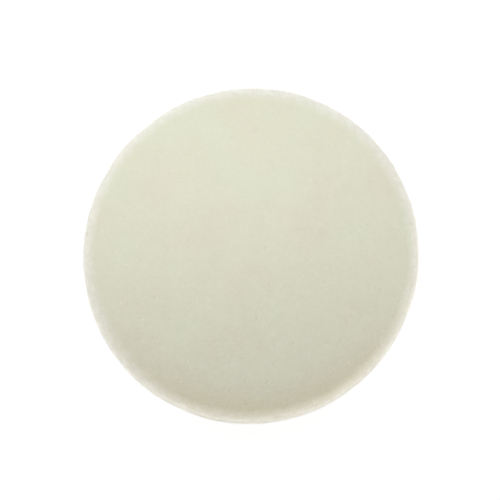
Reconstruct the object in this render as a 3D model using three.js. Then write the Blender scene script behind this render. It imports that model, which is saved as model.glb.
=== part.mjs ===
// A felt polishing wheel: a thick disc of pressed wool felt with a soft shoulder, backed with loop
// fabric that presses onto the hook face of a polishing machine's pad. It has no arbor hole.
//
// Millimetres, +Z up. The wheel lies on its back with its working face up, and the origin is the
// centre of the loop face, where it meets the machine's pad.

import * as THREE from "three";

// Overall sizes.
const WHEEL_DIAMETER = 100;
const FELT_THICKNESS = 10.5; // at the centre, from the glued back to the top of the crown

// The felt's outline.
const CROWN_RISE = 1.4; // how far the middle of the face stands above the shoulder's start
const CROWN_POWER = 3; // how late the face starts to fall: 1 is a cone, 2 a parabola
const SHOULDER_WIDTH = 4.0; // the rounded stretch between face and wall, measured along a radius
const SHOULDER_DROP = 3.8; // the same stretch, measured down the wall
const HEEL_RADIUS = 0.9; // the small rounding at the foot of the wall

// The back.
const LOOP_THICKNESS = 1.2;
const LOOP_INSET = 0.8; // from the felt's wall to the trimmed edge of the loop fabric
const ADHESIVE_THICKNESS = 0.3;
const ADHESIVE_INSET = 1.2; // from the loop fabric's edge to the edge of the glue

// How finely round shapes are cut.
const TURN_SEGMENTS = 96;
const CROWN_STEPS = 7;
const SHOULDER_STEPS = 10;
const HEEL_STEPS = 4;

// Radii and levels that follow from the sizes above.
const wheelRadius = WHEEL_DIAMETER / 2;
const loopRadius = wheelRadius - LOOP_INSET;
const adhesiveRadius = loopRadius - ADHESIVE_INSET;
const adhesiveLevel = LOOP_THICKNESS;
const feltLevel = adhesiveLevel + ADHESIVE_THICKNESS;
const feltTop = feltLevel + FELT_THICKNESS;

const feltMaterial = new THREE.MeshStandardMaterial({ color: "#e6e3d2", roughness: 0.95, metalness: 0 });
const adhesiveMaterial = new THREE.MeshStandardMaterial({ color: "#c9b98c", roughness: 0.5, metalness: 0 });
const loopMaterial = new THREE.MeshStandardMaterial({ color: "#dcdad2", roughness: 0.9, metalness: 0 });

// Points along a quarter ellipse about `centre`, from angle `from` to angle `to`, both ends included.
function arc(centre, halfWidth, halfHeight, from, to, steps) {
  return Array.from({ length: steps + 1 }, (_, i) => {
    const angle = from + ((to - from) * i) / steps;
    return new THREE.Vector2(
      centre.x + halfWidth * Math.cos(angle),
      centre.y + halfHeight * Math.sin(angle),
    );
  });
}

// Points over the crown, inwards to the axis: the face falls by CROWN_RISE from there to `edgeRadius`.
function crown(edgeRadius, topLevel) {
  return Array.from({ length: CROWN_STEPS }, (_, i) => {
    const share = 1 - (i + 1) / CROWN_STEPS;
    return new THREE.Vector2(edgeRadius * share, topLevel - CROWN_RISE * share ** CROWN_POWER);
  });
}

// A solid of revolution about +Z. The profile holds (radius, level) points from the axis at its
// lowest point, round the outside, to the axis at its highest.
function turned(name, profile, material) {
  const geometry = new THREE.LatheGeometry(profile, TURN_SEGMENTS);
  geometry.rotateX(Math.PI / 2);
  const mesh = new THREE.Mesh(geometry, material);
  mesh.name = name;
  return mesh;
}

// A flat disc between two levels.
function disc(name, radius, bottom, top, material) {
  const profile = [
    new THREE.Vector2(0, bottom),
    new THREE.Vector2(radius, bottom),
    new THREE.Vector2(radius, top),
    new THREE.Vector2(0, top),
  ];
  return turned(name, profile, material);
}

function feltBody() {
  const faceRadius = wheelRadius - SHOULDER_WIDTH;
  const faceLevel = feltTop - CROWN_RISE;
  const heelCentre = new THREE.Vector2(wheelRadius - HEEL_RADIUS, feltLevel + HEEL_RADIUS);
  const shoulderCentre = new THREE.Vector2(faceRadius, faceLevel - SHOULDER_DROP);
  const profile = [
    new THREE.Vector2(0, feltLevel),
    ...arc(heelCentre, HEEL_RADIUS, HEEL_RADIUS, -Math.PI / 2, 0, HEEL_STEPS),
    ...arc(shoulderCentre, SHOULDER_WIDTH, SHOULDER_DROP, 0, Math.PI / 2, SHOULDER_STEPS),
    ...crown(faceRadius, feltTop),
  ];
  return turned("felt_body", profile, feltMaterial);
}

const wheel = new THREE.Group();
wheel.add(feltBody());
wheel.add(disc("adhesive_film", adhesiveRadius, adhesiveLevel, feltLevel, adhesiveMaterial));
wheel.add(disc("loop_backing", loopRadius, 0, adhesiveLevel, loopMaterial));

export default wheel;
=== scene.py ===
"""A felt polishing wheel: a pressed wool felt disc on a loop-fabric back, lying on a white table.

Everything is in metres, in the part's own frame: +Z is the spin axis and the loop face is at z = 0.
Each piece takes its overall size from the CAD solid that it stands for. The values below say how it is
rounded, how finely it is meshed and what its surface looks like, and how it is lit and seen.
"""

import math

import bpy
import numpy as np
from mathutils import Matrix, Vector, noise
from mathutils.bvhtree import BVHTree

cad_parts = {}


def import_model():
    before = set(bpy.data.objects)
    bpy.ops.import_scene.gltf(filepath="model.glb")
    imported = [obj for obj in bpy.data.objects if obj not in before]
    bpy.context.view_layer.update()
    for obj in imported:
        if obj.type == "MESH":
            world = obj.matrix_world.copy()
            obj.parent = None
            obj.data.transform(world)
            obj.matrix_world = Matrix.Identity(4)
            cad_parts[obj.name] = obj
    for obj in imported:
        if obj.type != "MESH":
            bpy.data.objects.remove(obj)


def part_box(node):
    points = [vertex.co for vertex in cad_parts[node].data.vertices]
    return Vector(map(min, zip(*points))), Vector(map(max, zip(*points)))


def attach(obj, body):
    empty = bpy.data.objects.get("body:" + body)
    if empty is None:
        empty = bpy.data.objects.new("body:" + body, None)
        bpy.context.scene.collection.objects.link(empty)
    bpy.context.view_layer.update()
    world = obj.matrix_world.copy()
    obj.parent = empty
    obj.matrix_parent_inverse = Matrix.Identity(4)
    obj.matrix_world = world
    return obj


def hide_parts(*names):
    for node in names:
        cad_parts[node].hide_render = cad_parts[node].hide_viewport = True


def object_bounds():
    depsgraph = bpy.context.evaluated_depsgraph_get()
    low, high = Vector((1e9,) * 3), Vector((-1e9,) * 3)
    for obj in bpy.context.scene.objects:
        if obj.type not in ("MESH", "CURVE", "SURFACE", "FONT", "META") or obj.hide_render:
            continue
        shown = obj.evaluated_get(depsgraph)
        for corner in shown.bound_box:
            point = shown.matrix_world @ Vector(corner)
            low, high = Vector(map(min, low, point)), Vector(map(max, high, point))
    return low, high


MM = 0.001
BODY = "root"
SEED = 11

# The felt's outline.
SHOULDER_WIDTH = 4.0 * MM  # the steep rounding between face and wall, along a radius
SHOULDER_DROP = 3.8 * MM  # the same rounding, down the wall
CROWN_RISE = 1.4 * MM  # how far the face falls from its middle to the shoulder
CROWN_POWER = 3.0  # how late the face starts to fall
HEEL_RADIUS = 0.9 * MM  # the small rounding at the foot of the wall
OVAL = 0.39 * MM  # how far the hand-cut outline stands out of round
OVAL_DIRECTION = math.radians(59.4)

# How fine the felt's mesh is.
FACE_CELLS = 208  # grid cells across the face
RING_STEP = 0.36 * MM  # between rings on the shoulder and wall
ARC_PER_CHORD = 1.12  # about how much longer a quarter ellipse is than its chord
UNDERSIDE_SHARES = (0.96, 0.9, 0.7, 0.35)  # where rings lie under the disc, as shares of its radius

# The felt's relief, as heights and sizes of noise: matting all over, then marks on the wall only.
MATTED_RELIEF = ((0.10 * MM, 17 * MM, 1), (0.045 * MM, 4.2 * MM, 1), (0.028 * MM, 1.25 * MM, 2))
TRIM_HEIGHT = 0.20 * MM  # slow waves that the trimming left round the wall
TRIM_SIZE = 13 * MM
NICK_HEIGHT = 0.11 * MM  # shorter marks of the same blade
NICK_SIZE = 3.4 * MM
NICK_TALLNESS = 2  # how much taller than wide a nick is
LAYER_HEIGHT = 0.06 * MM  # the pressed layers that show on the cut wall
LAYER_SIZE = 0.9 * MM
LAYER_SQUASH = (0.2, 0.2, 1.4)  # long round the wall, and short up it
DOWNWARD = -0.9  # a normal whose Z is below this belongs to the flat underside, which stays flat

# The fuzz that stands off the felt.
FIBRE_THICKNESS = 0.035 * MM
FIBRE_POINTS = 5
FIBRE_WANDER = 0.45  # how much a fibre turns from point to point, in radians
FIBRE_RISE = 1.6  # how late along its length a fibre lifts off
SHORTEST_FIBRE = 0.35  # as a share of the longest
HIGHEST_FIBRE = 3  # as a multiple of the usual lift
FACE_FIBRES = 5000
FACE_FIBRE_LENGTH = 4.0 * MM
FACE_FIBRE_LIFT = 0.10 * MM
FACE_FIBRE_MARGIN = 2 * MM  # how far in from the felt's edge the face's fibres stop
RIM_FIBRES = 7000
RIM_FIBRE_LENGTH = 2.6 * MM
RIM_FIBRE_LIFT = 0.16 * MM

# The glue.
GLUE_CLEARANCE = 0.01 * MM  # what the film stays off the layers above and below it
GLUE_BULGE = 0.12 * MM
GLUE_WANDER = 0.35 * MM  # how far its squeezed-out edge strays
GLUE_WANDER_SIZE = 6 * MM
GLUE_WANDER_RING = 0.5 * MM  # how far in from the edge the straying reaches
GLUE_RING = 1 * MM  # between its gridded top and its edge
GLUE_CELLS = 96
GLUE_UNDERSIDE = (0.95, 0.5)

# The loop fabric.
GROUND_THICKNESS = 0.7 * MM
GROUND_EDGE = 0.2 * MM  # the rounding of its trimmed edge
GROUND_CELLS = 200
GROUND_UNDERSIDE = (0.99, 0.9, 0.7, 0.4)
GROUND_WANDER = ((0.10 * MM, 5 * MM), (0.05 * MM, 0.9 * MM))  # heights and sizes, along its edge
LOOP_PITCH = 1.25 * MM
ROW_PITCH = 0.87 * LOOP_PITCH
LOOP_MARGIN = 0.8 * MM  # how far in from the fabric's edge the loops stop
LOOP_STRAY = 0.12  # how far a loop strays from its place, as a share of the pitch
LOOP_SPANS = (0.6, 1.2)  # the narrowest and the widest, as shares of the pitch
LOOP_DEPTHS = (0.7, 1.0)  # the shortest and the tallest, as shares of the room under the ground
LOOP_BULGE = 0.35  # how much wider a loop is at its middle
LOOP_LEAN = 0.35 * MM  # how far its lowest point leans out of line
LOOP_SINK = 0.03 * MM  # how far its ends reach into the ground
LOOP_POINTS = 6
YARN_THICKNESS = 0.17 * MM
TUBE_SIDES = 3
TUBE_TIP = 0.45  # the width of a fibre's or loop's ends, as a share of its middle

# Light: a wide strip soft box above the far side, a surround that is brightest and warmest near
# the horizon on the near side, and a table that glows like a light box.
ZENITH_LIGHT = 0.12
HORIZON_LIGHT = 2.15  # what the horizon adds all round
NEAR_LIGHT = 5.2  # what it adds more on the near side
NEAR_SIDE = Vector((0.3, -0.954, 0))
HORIZON_HEIGHT = 0.4  # the sine of the elevation where it has faded to its zenith level
HORIZON_BLUR = 0.02  # the same, for how far below the horizon the surround's light ends
WARM_LIGHT = (1.0, 0.96, 0.89, 1)
COOL_LIGHT = (0.98, 1.0, 1.0, 1)
KEY_PLACE = Vector((-0.055, 0.063, 0.170))
KEY_AIM = Vector((-0.055, 0.038, 0))
KEY_WIDTH = 0.4
KEY_DEPTH = 0.08
KEY_POWER = 0.357
TABLE_GLOW = 0.87
TABLE_COLOUR = (0.25, 0.25, 0.25, 1)
TABLE_HALF_WIDTH = 3.0
SHADE_MARGIN = 4 * MM  # how far in from the wheel's edge the table stops glowing
WHITE = (1, 1, 1, 1)

# The photograph's view: the picture is centred a little above the wheel's middle.
CAMERA_ELEVATION = math.radians(82)
CAMERA_LENS = 135
CAMERA_SENSOR = 36
PICTURE_WIDTH = 148.95 * MM  # what the picture spans at the wheel
AIM_OFFSET = Vector((-0.28 * MM, 1.26 * MM, 0))


# ---------------------------------------------------------------- shader helpers


def add_node(tree, kind, settings=None, **inputs):
    """A new shader node. An input is a value, or another node's socket to link from."""
    made = tree.nodes.new("ShaderNode" + kind)
    for key, value in (settings or {}).items():
        setattr(made, key, value)
    for key, value in inputs.items():
        connect(tree, value, made.inputs[key.replace("_", " ")])
    return made


def connect(tree, value, socket):
    """Links a socket from another node's, or sets it to a value."""
    if isinstance(value, bpy.types.NodeSocket):
        tree.links.new(value, socket)
    else:
        socket.default_value = value


def calculate(tree, operation, a, b):
    """A Math node's result, from values or sockets."""
    made = add_node(tree, "Math", {"operation": operation})
    connect(tree, a, made.inputs[0])
    connect(tree, b, made.inputs[1])
    return made.outputs[0]


def product(tree, first, *others):
    """Several values multiplied together."""
    for other in others:
        first = calculate(tree, "MULTIPLY", first, other)
    return first


def mix_colours(tree, factor, a, b):
    """Colour a where the factor is 0, and colour b where it is 1."""
    made = add_node(tree, "Mix", {"data_type": "RGBA"}, Factor=factor)
    connect(tree, a, made.inputs[6])
    connect(tree, b, made.inputs[7])
    return made.outputs[2]


def noise_at(tree, place, size, detail, distortion=0.0, stretch=(1, 1, 1)):
    """Noise from 0 to 1, whose features are about `size` metres."""
    moved = add_node(tree, "Mapping", Vector=place, Scale=stretch)
    made = add_node(
        tree,
        "TexNoise",
        Vector=moved.outputs["Vector"],
        Scale=1 / size,
        Detail=detail,
        Distortion=distortion,
    )
    return made.outputs[0]


def sharpen(tree, value, low, high):
    """Stretches the range low to high over 0 to 1, and clamps what lies outside it."""
    return add_node(tree, "MapRange", Value=value, From_Min=low, From_Max=high).outputs[0]


def length_of(tree, place):
    """A place's distance from the spin axis."""
    flat = add_node(tree, "VectorMath", {"operation": "MULTIPLY"})
    tree.links.new(place, flat.inputs[0])
    flat.inputs[1].default_value = (1, 1, 0)
    made = add_node(tree, "VectorMath", {"operation": "LENGTH"})
    tree.links.new(flat.outputs[0], made.inputs[0])
    return made.outputs["Value"]


def place_share(tree, place, direction, radius):
    """How far a place lies out towards `direction`, as a share of the radius."""
    made = add_node(tree, "VectorMath", {"operation": "DOT_PRODUCT"})
    tree.links.new(place, made.inputs[0])
    made.inputs[1].default_value = direction / radius
    return made.outputs["Value"]


def bump(tree, height, distance, normal=None):
    """A surface that stands up to `distance` proud where height is 1, on top of another's normal."""
    made = add_node(tree, "Bump", Height=height, Distance=distance, Strength=1.0)
    if normal is not None:
        tree.links.new(normal, made.inputs["Normal"])
    return made.outputs[0]


def roughen(tree, shader, pattern, least, gain):
    """Roughness from `least` to `least` + `gain`, as a pattern goes from 0 to 1."""
    rough = calculate(tree, "ADD", product(tree, pattern, gain), least)
    tree.links.new(rough, shader.inputs["Roughness"])


def new_material(name):
    """A material, its node tree, its shader, and the place on the object that its patterns follow."""
    material = bpy.data.materials.new(name)
    material.use_nodes = True
    tree = material.node_tree
    shader = tree.nodes["Principled BSDF"]
    place = add_node(tree, "TexCoord").outputs["Object"]
    return material, tree, shader, place


# ---------------------------------------------------------------- felt material

# What part of a noise's range becomes the whole of a pattern: the narrower, the crisper.
FAINT_EDGES = (0.25, 0.75)
SOFT_EDGES = (0.3, 0.7)
FIRM_EDGES = (0.35, 0.65)

# The pressed face.
CREAM_WOOL = (0.768, 0.752, 0.604, 1)
GREENISH_WOOL = (0.761, 0.784, 0.629, 1)
PATCH_SIZE = 14 * MM
LIT_MATTED_WOOL = (0.82, 0.81, 0.70, 1)
MATTING_SIZE = 2.2 * MM  # clumps of pressed wool, paler where they stand proud: partly their tone, partly painted light
MATTING_SHARE = 0.42
MATTING_BUMP = 0.13 * MM
TANGLE_SIZE = 0.62 * MM  # the strands on top
TANGLE_BUMP = 0.06 * MM

# Painted shade on one side: the face's edge there is darker and a little yellower, and the painted
# shading of the grain deepens towards it.
SHADED_SIDE = Vector((0.1, -0.995, 0))
# painted shade: the darker, yellower colour of the face's edge on one side
CRESCENT_SHADE_WOOL = (0.72, 0.66, 0.46, 1)
CRESCENT_TOWARDS = (0.35, 0.85)  # how far out to that side the painted shade comes in, in shares of the radius
CRESCENT_RING = (0.76, 0.90)  # the shares of the radius between which it comes in
CRESCENT_LEVELS = (7 * MM, 10 * MM)  # it is on the shoulder and not down the wall
CRESCENT_SHARE = 0.5
LEAST_GRAIN_SHADE = 0.1
GRAIN_SHADE_GAIN = 1.95  # what the grain's painted shading gains from the far side to the shaded side
GRAIN_SHADE_TOWARDS = (-0.8, 0.8)

# The shoulder, where the fibres stand up, is paler than the pressed face: partly the raised fibres' own
# colour, partly painted light for the rim's bright glow.
RAISED_FROM = 0.94  # shares of the radius between which the felt turns from pressed to raised
RAISED_TO = 1.0
RAISED_SHIFT = 0.018  # how much further in it starts away from the shaded side: painted light that follows that side
RAISED_TOWARDS = (0.9, 0.2)
RAISED_LEVELS = (3 * MM, 8 * MM)
RAISED_FRAY = 0.014  # how far tufts stray over its edge, as a share of the radius
# paler than the face: partly raised fleece, partly painted light for the bright rim
DULL_FLEECE_AND_RIM_LIGHT = (0.82, 0.805, 0.735, 1)
PALE_FLEECE_AND_RIM_LIGHT = (0.90, 0.89, 0.835, 1)
TUFT_SIZE = 1.6 * MM

# The wall, which was cut through the felt's layers.
CUT_RING = (0.95, 0.985)
CUT_LEVELS = (9 * MM, 6 * MM)
DULL_CUT = (0.62, 0.60, 0.49, 1)
PALE_CUT = (0.75, 0.735, 0.635, 1)
CUT_LAYER_SIZE = 2.4 * MM
CUT_LAYER_SQUASH = (1, 1, 5)

# The grain: painted shade between strands and in small pits, and pale curls.
SHADED_WOOL = (0.60, 0.58, 0.44, 1)
SHADE_SHARE = 0.11
PIT_SHADE_WOOL = (0.50, 0.47, 0.33, 1)
PIT_SIZE = 1.5 * MM
PIT_EDGES = (0.66, 0.73)
PIT_TWIST = 2.2
PIT_SHARE = 0.20
CURL_WOOL = (0.93, 0.92, 0.84, 1)
CURL_SIZE = 1.7 * MM
CURL_EDGES = (0.66, 0.72)
CURL_TWIST = 3.5
CURL_SHARE = 0.32


def pressed_wool(tree, place, matting, grain):
    """The face's colour: patches of two wools, with paler matted clumps, partly painted light where they
    stand proud, as strong as the grain's painted shading.
    """
    patches = sharpen(tree, noise_at(tree, place, PATCH_SIZE, 2.0), *SOFT_EDGES)
    wool = mix_colours(tree, patches, CREAM_WOOL, GREENISH_WOOL)
    # the matted clumps' paleness is partly painted light on their raised tops
    return mix_colours(tree, product(tree, matting, grain, MATTING_SHARE), wool, LIT_MATTED_WOOL)


def add_painted_crescent(tree, wool, near, share, height):
    """Paints shade on the face's edge on one side: darker and a little yellower."""
    crescent_shade = product(
        tree,
        sharpen(tree, near, *CRESCENT_TOWARDS),
        sharpen(tree, share, *CRESCENT_RING),
        sharpen(tree, height, *CRESCENT_LEVELS),
        CRESCENT_SHARE,
    )
    return mix_colours(tree, crescent_shade, wool, CRESCENT_SHADE_WOOL)


def add_cut_wall(tree, wool, place, share, height):
    """Gives the wall the duller, layered look of cut felt."""
    layers = noise_at(tree, place, CUT_LAYER_SIZE, 3.0, 0.5, CUT_LAYER_SQUASH)
    side = mix_colours(tree, sharpen(tree, layers, *FIRM_EDGES), DULL_CUT, PALE_CUT)
    cut = product(tree, sharpen(tree, share, *CUT_RING), sharpen(tree, height, *CUT_LEVELS))
    return mix_colours(tree, cut, wool, side)


def add_fleece_and_rim_light(tree, wool, place, near, share, height):
    """Turns the shoulder to pale raised fleece, partly painted light for the bright rim, with a ragged
    edge towards the face.
    """
    tufts = sharpen(tree, noise_at(tree, place, TUFT_SIZE, 2.0, 0.6), *SOFT_EDGES)
    ragged = calculate(tree, "ADD", share, product(tree, tufts, RAISED_FRAY))
    shift = product(tree, sharpen(tree, near, *RAISED_TOWARDS), -RAISED_SHIFT)
    raised_and_lit = sharpen(tree, ragged, calculate(tree, "ADD", shift, RAISED_FROM), RAISED_TO)
    raised_and_lit = product(tree, raised_and_lit, sharpen(tree, height, *RAISED_LEVELS))
    return mix_colours(tree, raised_and_lit, wool, mix_colours(tree, tufts, DULL_FLEECE_AND_RIM_LIGHT, PALE_FLEECE_AND_RIM_LIGHT))


def add_grain_and_shade(tree, wool, place, strands, grain):
    """Paints shade in the gaps between strands and in scattered pits, and scatters pale curls, all as
    strong as the grain's painted shading.
    """
    shade = product(tree, calculate(tree, "SUBTRACT", 1.0, strands), grain, SHADE_SHARE)
    wool = mix_colours(tree, shade, wool, SHADED_WOOL)
    # pits: small dark marks, painted shade in the felt's pits
    pits = sharpen(tree, noise_at(tree, place, PIT_SIZE, 2.0, PIT_TWIST), *PIT_EDGES)
    wool = mix_colours(tree, product(tree, pits, grain, PIT_SHARE), wool, PIT_SHADE_WOOL)
    curls = sharpen(tree, noise_at(tree, place, CURL_SIZE, 2.0, CURL_TWIST), *CURL_EDGES)
    return mix_colours(tree, product(tree, curls, grain, CURL_SHARE), wool, CURL_WOOL)


def felt_material(radius):
    """Matted wool: cream with paler patches, a tangle of fibres, a soft sheen, and painted shade on one
    side's edge.
    """
    material, tree, shader, place = new_material("wool_felt")
    share = calculate(tree, "DIVIDE", length_of(tree, place), radius)
    height = add_node(tree, "SeparateXYZ", Vector=place).outputs["Z"]
    near = place_share(tree, place, SHADED_SIDE, radius)
    # grain: how strong the felt's marks are, rising towards one side: painted shading, as light grazes
    # that side
    grain = product(tree, sharpen(tree, near, *GRAIN_SHADE_TOWARDS), GRAIN_SHADE_GAIN)
    grain = calculate(tree, "ADD", grain, LEAST_GRAIN_SHADE)
    matting = sharpen(tree, noise_at(tree, place, MATTING_SIZE, 4.0, 0.8), *FAINT_EDGES)
    tangle = noise_at(tree, place, TANGLE_SIZE, 4.0, 2.5)
    strands = sharpen(tree, tangle, *FIRM_EDGES)
    wool = pressed_wool(tree, place, matting, grain)
    # painted shade: a darker, yellower edge on one side of the face
    wool = add_painted_crescent(tree, wool, near, share, height)
    wool = add_cut_wall(tree, wool, place, share, height)
    # the shoulder's pale fleece, partly painted light for the bright rim
    wool = add_fleece_and_rim_light(tree, wool, place, near, share, height)
    # painted shade between strands and in pits, stronger towards one side
    wool = add_grain_and_shade(tree, wool, place, strands, grain)
    tree.links.new(wool, shader.inputs["Base Color"])
    roughen(tree, shader, strands, 0.88, 0.08)
    coarse = bump(tree, matting, MATTING_BUMP)
    tree.links.new(bump(tree, tangle, TANGLE_BUMP, coarse), shader.inputs["Normal"])
    shader.inputs["Specular IOR Level"].default_value = 0.2
    shader.inputs["Sheen Weight"].default_value = 1.0
    shader.inputs["Sheen Roughness"].default_value = 0.4
    shader.inputs["Sheen Tint"].default_value = (1.0, 0.98, 0.94, 1)
    return material


# ---------------------------------------------------------------- other materials

# paler than the felt: partly the fibres' own colour, partly painted light for light shining through them
DULL_FIBRE = (0.88, 0.86, 0.77, 1)
PALE_FIBRE = (0.96, 0.95, 0.90, 1)
FIBRE_SHADE_SIZE = 1.1 * MM
DARK_GLUE = (0.55, 0.43, 0.20, 1)
PALE_GLUE = (0.70, 0.60, 0.36, 1)
CLOUD_SIZE = 3.5 * MM
GLUE_GRAIN_SIZE = 0.7 * MM
GLUE_BUMP = 0.05 * MM
# painted shade in the grooves between stitch rows
GROOVE_SHADED_KNIT = (0.52, 0.51, 0.475, 1)
PALE_KNIT = (0.70, 0.69, 0.65, 1)
BRUSHED_KNIT = (0.79, 0.78, 0.75, 1)
BRUSHED_SHARE = 0.3
STITCH_SIZE = 2.2 * MM
STITCH_BUMP = 0.12 * MM
KNIT_FUZZ_SIZE = 0.5 * MM
KNIT_FUZZ_BUMP = 0.08 * MM
DULL_YARN = (0.61, 0.60, 0.565, 1)
PALE_YARN = (0.76, 0.75, 0.715, 1)
YARN_SHADE_SIZE = 2.4 * MM


def fibre_material():
    """Loose wool fibres, a little paler than the felt under them: partly their own colour, partly
    painted light for the light that shines through them.
    """
    material, tree, shader, place = new_material("loose_wool")
    shade = sharpen(tree, noise_at(tree, place, FIBRE_SHADE_SIZE, 1.0), *SOFT_EDGES)
    wool = mix_colours(tree, shade, DULL_FIBRE, PALE_FIBRE)
    tree.links.new(wool, shader.inputs["Base Color"])
    shader.inputs["Roughness"].default_value = 0.75
    shader.inputs["Specular IOR Level"].default_value = 0.25
    return material


def adhesive_material():
    """Dried contact adhesive: honey coloured, satin, with pale cloudy stretches."""
    material, tree, shader, place = new_material("dried_adhesive")
    clouds = sharpen(tree, noise_at(tree, place, CLOUD_SIZE, 3.0), *SOFT_EDGES)
    glue = mix_colours(tree, clouds, DARK_GLUE, PALE_GLUE)
    tree.links.new(glue, shader.inputs["Base Color"])
    grain = noise_at(tree, place, GLUE_GRAIN_SIZE, 3.0)
    roughen(tree, shader, grain, 0.3, 0.3)
    tree.links.new(bump(tree, grain, GLUE_BUMP), shader.inputs["Normal"])
    return material


def knit_material():
    """The loop fabric's knitted ground: off-white nylon in fine rows of stitches, with painted shade in
    the grooves between rows.
    """
    material, tree, shader, place = new_material("knitted_nylon")
    stitches = add_node(
        tree,
        "TexWave",
        {"wave_type": "BANDS", "bands_direction": "X", "wave_profile": "SIN"},
        Vector=place,
        Scale=1 / STITCH_SIZE,
        Distortion=1.2,
        Detail=1.0,
    ).outputs["Fac"]
    fuzz = noise_at(tree, place, KNIT_FUZZ_SIZE, 4.0, 1.0)
    # painted shade: the knit is darker where its stitch rows dip
    knit = mix_colours(tree, stitches, GROOVE_SHADED_KNIT, PALE_KNIT)
    knit = mix_colours(tree, product(tree, fuzz, BRUSHED_SHARE), knit, BRUSHED_KNIT)
    tree.links.new(knit, shader.inputs["Base Color"])
    roughen(tree, shader, fuzz, 0.7, 0.2)
    rows = bump(tree, stitches, STITCH_BUMP)
    tree.links.new(bump(tree, fuzz, KNIT_FUZZ_BUMP, rows), shader.inputs["Normal"])
    shader.inputs["Sheen Weight"].default_value = 0.2
    return material


def yarn_material():
    """The brushed loops: fine nylon, slightly glossy."""
    material, tree, shader, place = new_material("loop_yarn")
    shade = sharpen(tree, noise_at(tree, place, YARN_SHADE_SIZE, 2.0), *SOFT_EDGES)
    yarn = mix_colours(tree, shade, DULL_YARN, PALE_YARN)
    tree.links.new(yarn, shader.inputs["Base Color"])
    shader.inputs["Roughness"].default_value = 0.45
    return material


# ---------------------------------------------------------------- mesh helpers


def mesh_object(name, points, faces, material):
    """A smooth mesh object from points and faces, riding on the wheel."""
    mesh = bpy.data.meshes.new(name)
    mesh.from_pydata([tuple(p) for p in points], [], faces)
    mesh.update()
    mesh.shade_smooth()
    mesh.materials.append(material)
    made = bpy.data.objects.new(name, mesh)
    bpy.context.scene.collection.objects.link(made)
    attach(made, BODY)
    return made


def read_points(mesh, attribute="co"):
    values = np.zeros(len(mesh.vertices) * 3)
    mesh.vertices.foreach_get(attribute, values)
    return values.reshape(-1, 3)


def write_points(mesh, points):
    mesh.vertices.foreach_set("co", np.asarray(points).ravel())
    mesh.update()


def rough_at(point, size, octaves=1):
    """Smooth noise from about -1 to 1, whose bumps are about `size` across."""
    return noise.fractal(Vector(point) / size, 1.0, 2.0, octaves, noise_basis="PERLIN_ORIGINAL")


def disc_grid(cells):
    """A square grid pressed out to a unit disc: its points, its quads, and its rim's point numbers."""
    steps = np.linspace(-1, 1, cells + 1)
    a, b = np.meshgrid(steps, steps)
    a, b = a.ravel(), b.ravel()
    wide = np.abs(a) > np.abs(b)
    reach = np.where(wide, a, b)
    share = np.divide(np.where(wide, b, a), reach, out=np.zeros_like(a), where=reach != 0)
    angle = np.where(wide, share * math.pi / 4, math.pi / 2 - share * math.pi / 4)
    points = np.column_stack([reach * np.cos(angle), reach * np.sin(angle)])
    row = cells + 1
    quads = [
        (j * row + i, j * row + i + 1, (j + 1) * row + i + 1, (j + 1) * row + i)
        for j in range(cells)
        for i in range(cells)
    ]
    last = row * row - 1
    rim = list(range(cells))
    rim += [cells + j * row for j in range(cells)]
    rim += [last - i for i in range(cells)]
    rim += [last - cells - j * row for j in range(cells)]
    return points, quads, rim


def pancake(cells, face_radius, face_height, rings):
    """A closed round solid: a gridded top, rings round the side, and a fan underneath.

    face_height(radius) is the top's level. rings are (radius, level) pairs from the face's edge
    down the side and in along the bottom.
    """
    disc, faces, rim = disc_grid(cells)
    disc = disc * face_radius
    levels = face_height(np.hypot(disc[:, 0], disc[:, 1]))
    points = [np.column_stack([disc, levels])]
    around = disc[rim] / face_radius
    count = len(rim)
    start = len(disc)
    above = np.array(rim)
    for radius, level in rings:
        points.append(np.column_stack([around * radius, np.full(count, level)]))
        below = np.arange(start, start + count)
        quads = np.column_stack([above, below, np.roll(below, -1), np.roll(above, -1)])
        faces += [tuple(quad) for quad in quads.tolist()]
        above = below
        start += count
    points.append(np.array([[0.0, 0.0, rings[-1][1]]]))
    faces += [(int(a), start, int(b)) for a, b in zip(above, np.roll(above, -1))]
    return np.concatenate(points), faces


def frames_along(paths):
    """Two directions across each path at each of its points."""
    along = np.gradient(paths, axis=1)
    along /= np.linalg.norm(along, axis=2, keepdims=True) + 1e-12
    up = np.where(np.abs(along[..., 2:]) < 0.9, [0.0, 0.0, 1.0], [1.0, 0.0, 0.0])
    side = np.cross(along, up)
    side /= np.linalg.norm(side, axis=2, keepdims=True)
    return side, np.cross(side, along)


def tubes(paths, thickness):
    """Closed thin tubes along many paths, an array of (count, points, 3), tapered at both ends."""
    count, steps, _ = paths.shape
    sides = TUBE_SIDES
    side, up = frames_along(paths)
    taper = np.ones(steps)
    taper[0] = taper[-1] = TUBE_TIP
    rings = []
    for k in range(sides):
        turn = 2 * math.pi * k / sides
        offset = side * math.cos(turn) + up * math.sin(turn)
        rings.append(paths + offset * (thickness / 2 * taper)[None, :, None])
    points = np.stack(rings, axis=2).reshape(-1, 3)
    first = np.arange(count)[:, None, None] * steps * sides
    ring = first + np.arange(steps - 1)[None, :, None] * sides
    k = np.arange(sides)[None, None, :]
    beside = (k + 1) % sides
    walls = np.stack([ring + k, ring + beside, ring + sides + beside, ring + sides + k], axis=-1)
    walls = walls.reshape(-1, 4)
    starts = first[:, 0] + np.arange(sides)[None, ::-1]
    ends = first[:, 0] + (steps - 1) * sides + np.arange(sides)[None, :]
    return points, walls.tolist() + starts.tolist() + ends.tolist()


# ---------------------------------------------------------------- felt


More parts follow.
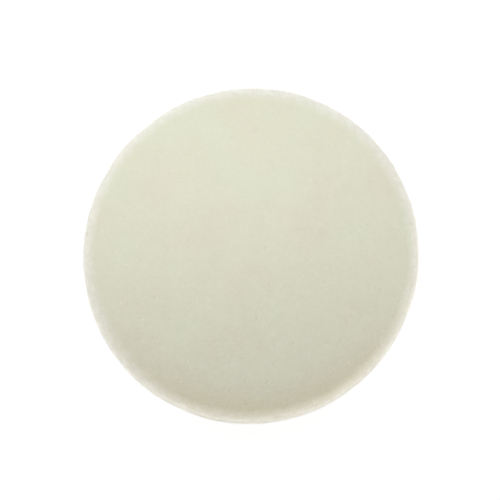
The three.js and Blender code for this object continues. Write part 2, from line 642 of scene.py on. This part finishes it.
def felt_rings(radius, bottom, face_radius, face_level):
    """The felt's outline below its face: the shoulder, the wall, the heel, and in under the disc."""
    rings = []
    shoulder_length = math.hypot(SHOULDER_WIDTH, SHOULDER_DROP) * ARC_PER_CHORD
    shoulder_steps = round(shoulder_length / RING_STEP)
    for i in range(1, shoulder_steps + 1):
        turn = math.pi / 2 * i / shoulder_steps
        out, down = math.sin(turn), 1 - math.cos(turn)
        rings.append((face_radius + SHOULDER_WIDTH * out, face_level - SHOULDER_DROP * down))
    wall_top, wall_foot = face_level - SHOULDER_DROP, bottom + HEEL_RADIUS
    wall_steps = round((wall_top - wall_foot) / RING_STEP)
    for i in range(1, wall_steps + 1):
        rings.append((radius, wall_top + (wall_foot - wall_top) * i / wall_steps))
    heel_steps = round(HEEL_RADIUS * math.pi / 2 / RING_STEP)
    for i in range(1, heel_steps + 1):
        turn = math.pi / 2 * i / heel_steps
        inward, up = 1 - math.cos(turn), 1 - math.sin(turn)
        rings.append((radius - HEEL_RADIUS * inward, bottom + HEEL_RADIUS * up))
    rings += [(radius * share, bottom) for share in UNDERSIDE_SHARES]
    return rings


def felt_relief(point, wall_share):
    """How far the felt stands out at a point: matting all over, and marks where it is a wall."""
    x, y, z = point
    matted = sum(height * rough_at(point, size, octaves) for height, size, octaves in MATTED_RELIEF)
    trimmed = TRIM_HEIGHT * rough_at((x, y, 0), TRIM_SIZE)
    trimmed += NICK_HEIGHT * rough_at((x, y, z / NICK_TALLNESS), NICK_SIZE)
    layered = LAYER_HEIGHT * rough_at(np.multiply(point, LAYER_SQUASH), LAYER_SIZE)
    return matted + wall_share * (trimmed + layered)


def make_felt(material):
    """The felt disc: its outline, then its relief, then its slight oval."""
    low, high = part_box("felt_body")
    radius = (high.x - low.x) / 2
    face_radius = radius - SHOULDER_WIDTH
    face_level = high.z - CROWN_RISE

    def crown(distance):
        return high.z - CROWN_RISE * (distance / face_radius) ** CROWN_POWER

    rings = felt_rings(radius, low.z, face_radius, face_level)
    points, faces = pancake(FACE_CELLS, face_radius, crown, rings)
    felt = mesh_object("felt_disc", points, faces, material)
    normals = read_points(felt.data, "normal")
    outward = np.clip(np.hypot(normals[:, 0], normals[:, 1]), 0, 1)
    under = normals[:, 2] < DOWNWARD
    relief = np.array([felt_relief(p, w) for p, w in zip(points, outward)])
    relief[under] = 0
    around = np.arctan2(points[:, 1], points[:, 0])
    stretch = 1 + OVAL / radius * np.cos(2 * (around - OVAL_DIRECTION))
    points = points + normals * relief[:, None]
    points[:, :2] *= stretch[:, None]
    write_points(felt.data, points)
    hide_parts("felt_body")
    return felt


def surface_of(piece):
    """A piece's surface, to find the nearest point on."""
    mesh = piece.data
    corners = [list(face.vertices) for face in mesh.polygons]
    return BVHTree.FromPolygons([vertex.co for vertex in mesh.vertices], corners)


def lay_fibres(surface, roots, rng, lengths, lifts):
    """Walks each fibre over the surface from its root, turning at random, and lifts it more and more."""
    paths = np.zeros((len(roots), FIBRE_POINTS, 3))
    for i, root in enumerate(roots):
        place, normal, _, _ = surface.find_nearest(Vector(root))
        heading = Vector(rng.normal(size=3))
        heading = (heading - normal * heading.dot(normal)).normalized()
        step = lengths[i] / (FIBRE_POINTS - 1)
        turns = rng.normal(0, FIBRE_WANDER, FIBRE_POINTS)
        for k in range(FIBRE_POINTS):
            share = k / (FIBRE_POINTS - 1)
            height = lifts[i] * share**FIBRE_RISE - FIBRE_THICKNESS * (1 - share)
            paths[i, k] = place + normal * height
            heading = (heading + normal.cross(heading) * turns[k]).normalized()
            place, normal, _, _ = surface.find_nearest(place + heading * step)
            heading = (heading - normal * heading.dot(normal)).normalized()
    return paths


def make_fuzz(name, roots, surface, rng, longest, lift, material):
    """Fibres from the roots, up to `longest` long, whose tips stand off by about `lift`."""
    count = len(roots)
    lengths = rng.uniform(SHORTEST_FIBRE, 1.0, count) * longest
    lifts = rng.exponential(lift, count).clip(0, HIGHEST_FIBRE * lift)
    paths = lay_fibres(surface, roots, rng, lengths, lifts)
    points, faces = tubes(paths, FIBRE_THICKNESS)
    fuzz = mesh_object(name, points, faces, material)
    return fuzz


def on_circle(distance, angle, level):
    return np.column_stack([distance * np.cos(angle), distance * np.sin(angle), level])


def face_roots(rng, radius, level):
    """Random places all over the face."""
    distance = radius * np.sqrt(rng.uniform(0, 1, FACE_FIBRES))
    angle = rng.uniform(0, 2 * math.pi, FACE_FIBRES)
    return on_circle(distance, angle, np.full(FACE_FIBRES, level))


def rim_roots(rng, radius, bottom, top):
    """Random places round the wall and shoulder."""
    angle = rng.uniform(0, 2 * math.pi, RIM_FIBRES)
    level = rng.uniform(bottom, top, RIM_FIBRES)
    return on_circle(radius, angle, level)


# ---------------------------------------------------------------- back


def stray_outwards(points, beyond, stray):
    """Moves the points further than `beyond` from the axis in or out by stray(point)."""
    for point in points:
        distance = math.hypot(point[0], point[1])
        if distance > beyond:
            point[:2] *= (distance + stray(point)) / distance


def make_adhesive(material):
    """The glue film, whose squeezed-out edge wanders a little."""
    low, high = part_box("adhesive_film")
    radius = (high.x - low.x) / 2
    middle = (low.z + high.z) / 2
    half = (high.z - low.z) / 2 - GLUE_CLEARANCE
    top, bottom = middle + half, middle - half
    rings = [(radius, top), (radius + GLUE_BULGE, middle), (radius, bottom)]
    rings += [(radius * share, bottom) for share in GLUE_UNDERSIDE]
    points, faces = pancake(GLUE_CELLS, radius - GLUE_RING, lambda d: np.full_like(d, top), rings)

    def squeeze(point):
        return GLUE_WANDER * rough_at((point[0], point[1], 0), GLUE_WANDER_SIZE)

    stray_outwards(points, radius - GLUE_WANDER_RING, squeeze)
    film = mesh_object("glue_line", points, faces, material)
    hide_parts("adhesive_film")
    return film


def make_ground(material):
    """The knitted ground of the loop fabric, with a trimmed edge."""
    low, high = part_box("loop_backing")
    radius = (high.x - low.x) / 2
    top, bottom = high.z, high.z - GROUND_THICKNESS
    edge, corner = GROUND_EDGE, 0.3 * GROUND_EDGE
    rings = [
        (radius - edge, top),
        (radius - corner, top - corner),
        (radius, top - edge),
        (radius, (top + bottom) / 2),
        (radius, bottom + edge),
        (radius - corner, bottom + corner),
    ]
    rings += [(radius * share, bottom) for share in GROUND_UNDERSIDE]
    points, faces = pancake(GROUND_CELLS, radius - 2 * edge, lambda d: np.full_like(d, top), rings)
    (slow, slow_size), (quick, quick_size) = GROUND_WANDER

    def wander(point):
        return slow * rough_at((point[0], point[1], 0), slow_size) + quick * rough_at(point, quick_size)

    stray_outwards(points, radius - 3 * edge, wander)
    ground = mesh_object("loop_ground", points, faces, material)
    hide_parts("loop_backing")
    return ground


def loop_places(rng, radius):
    """Places in staggered rows, each a little astray, for the loops inside a radius."""
    rows = int(radius / ROW_PITCH) + 1
    places = []
    for row in range(-rows, rows + 1):
        for column in range(-rows, rows + 1):
            x = (column + 0.5 * (row % 2)) * LOOP_PITCH
            y = row * ROW_PITCH
            if math.hypot(x, y) < radius:
                places.append((x, y))
    return np.array(places) + rng.normal(0, LOOP_STRAY * LOOP_PITCH, (len(places), 2))


def make_pile(rng, material):
    """The loops: small arches of yarn in rows under the ground, brushed in all directions."""
    low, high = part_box("loop_backing")
    ground = high.z - GROUND_THICKNESS
    places = loop_places(rng, (high.x - low.x) / 2 - LOOP_MARGIN)
    count = len(places)
    heading = rng.uniform(0, 2 * math.pi, count)
    span = rng.uniform(*LOOP_SPANS, count) * LOOP_PITCH
    lean = rng.normal(0, LOOP_LEAN, (count, 2))
    depth = rng.uniform(*LOOP_DEPTHS, count) * (ground - low.z - YARN_THICKNESS / 2)
    paths = np.zeros((count, LOOP_POINTS, 3))
    for k in range(LOOP_POINTS):
        turn = math.pi * k / (LOOP_POINTS - 1)
        down = math.sin(turn)
        across = -math.cos(turn) * span / 2 * (1 + LOOP_BULGE * down)
        paths[:, k, 0] = places[:, 0] + across * np.cos(heading) + lean[:, 0] * down
        paths[:, k, 1] = places[:, 1] + across * np.sin(heading) + lean[:, 1] * down
        paths[:, k, 2] = ground + LOOP_SINK - down * depth
    points, faces = tubes(paths, YARN_THICKNESS)
    pile = mesh_object("loop_pile", points, faces, material)
    return pile


# ---------------------------------------------------------------- stage


def make_floor(level, covered):
    """A table that glows white, except where the wheel covers it."""
    half = TABLE_HALF_WIDTH
    mesh = bpy.data.meshes.new("table")
    corners = [(x, y, level) for x, y in ((-half, -half), (half, -half), (half, half), (-half, half))]
    mesh.from_pydata(corners, [], [(0, 1, 2, 3)])
    floor = bpy.data.objects.new("table", mesh)
    bpy.context.scene.collection.objects.link(floor)
    material = bpy.data.materials.new("white_table")
    material.use_nodes = True
    tree = material.node_tree
    shader = tree.nodes["Principled BSDF"]
    shader.inputs["Base Color"].default_value = TABLE_COLOUR
    shader.inputs["Roughness"].default_value = 0.9
    shader.inputs["Emission Color"].default_value = WHITE
    distance = length_of(tree, add_node(tree, "TexCoord").outputs["Object"])
    glow = product(tree, sharpen(tree, distance, covered - SHADE_MARGIN, covered), TABLE_GLOW)
    tree.links.new(glow, shader.inputs["Emission Strength"])
    mesh.materials.append(material)


def add_soft_box():
    """The strip soft box, which the camera doesn't see."""
    light = bpy.data.lights.new("key", "AREA")
    light.shape = "RECTANGLE"
    light.size = KEY_WIDTH
    light.size_y = KEY_DEPTH
    light.energy = KEY_POWER
    made = bpy.data.objects.new("key", light)
    made.location = KEY_PLACE
    made.rotation_euler = (KEY_AIM - KEY_PLACE).to_track_quat("-Z", "Y").to_euler()
    made.visible_camera = False
    bpy.context.scene.collection.objects.link(made)


def light_studio():
    """The surround looks plain white to the camera, and lights the wheel most from the near horizon."""
    world = bpy.data.worlds.new("studio")
    bpy.context.scene.world = world
    world.use_nodes = True
    tree = world.node_tree
    background = tree.nodes["Background"]
    direction = add_node(tree, "TexCoord").outputs["Generated"]
    height = add_node(tree, "SeparateXYZ", Vector=direction).outputs["Z"]
    towards = add_node(tree, "VectorMath", {"operation": "DOT_PRODUCT"})
    tree.links.new(direction, towards.inputs[0])
    towards.inputs[1].default_value = NEAR_SIDE
    near = towards.outputs["Value"]
    lobe = calculate(tree, "POWER", sharpen(tree, near, 0, 1), 2)
    horizon = calculate(tree, "ADD", product(tree, lobe, NEAR_LIGHT), HORIZON_LIGHT)
    above = sharpen(tree, height, -HORIZON_BLUR, 0)
    low = product(tree, sharpen(tree, height, HORIZON_HEIGHT, 0), above)
    glow = calculate(tree, "ADD", product(tree, low, horizon), ZENITH_LIGHT)
    below = sharpen(tree, height, 0, -HORIZON_BLUR)
    glow = calculate(tree, "ADD", glow, product(tree, below, TABLE_GLOW))
    tint = mix_colours(tree, sharpen(tree, near, -1, 1), COOL_LIGHT, WARM_LIGHT)
    seen = add_node(tree, "LightPath").outputs["Is Camera Ray"]
    strength = add_node(tree, "MapRange", Value=seen, To_Min=glow)
    tree.links.new(strength.outputs[0], background.inputs["Strength"])
    tree.links.new(mix_colours(tree, seen, tint, WHITE), background.inputs["Color"])
    add_soft_box()


def aim_camera(centre):
    """The photograph's camera, whose picture spans PICTURE_WIDTH at the wheel."""
    data = bpy.data.cameras.new("camera")
    data.lens = CAMERA_LENS
    data.sensor_width = CAMERA_SENSOR
    camera = bpy.data.objects.new("camera", data)
    back = Vector((0, -math.cos(CAMERA_ELEVATION), math.sin(CAMERA_ELEVATION)))
    distance = PICTURE_WIDTH * CAMERA_LENS / CAMERA_SENSOR
    camera.location = centre + AIM_OFFSET + back * distance
    camera.rotation_euler = (-back).to_track_quat("-Z", "Y").to_euler()
    bpy.context.scene.collection.objects.link(camera)
    bpy.context.scene.camera = camera


def main():
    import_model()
    cad_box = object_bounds()
    rng = np.random.default_rng(SEED)
    felt_low, felt_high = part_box("felt_body")
    felt_radius = felt_high.x
    felt = make_felt(felt_material(felt_radius))
    surface = surface_of(felt)
    loose = fibre_material()
    on_face = face_roots(rng, felt_radius - FACE_FIBRE_MARGIN, felt_high.z)
    on_rim = rim_roots(rng, felt_radius, felt_low.z + HEEL_RADIUS, felt_high.z)
    make_fuzz("face_fuzz", on_face, surface, rng, FACE_FIBRE_LENGTH, FACE_FIBRE_LIFT, loose)
    make_fuzz("rim_fuzz", on_rim, surface, rng, RIM_FIBRE_LENGTH, RIM_FIBRE_LIFT, loose)
    make_adhesive(adhesive_material())
    make_ground(knit_material())
    make_pile(rng, yarn_material())
    make_floor(cad_box[0].z, felt_radius)
    light_studio()
    aim_camera(Vector((0, 0, felt_high.z / 2)))
    bpy.context.scene.view_settings.view_transform = "Standard"


main()
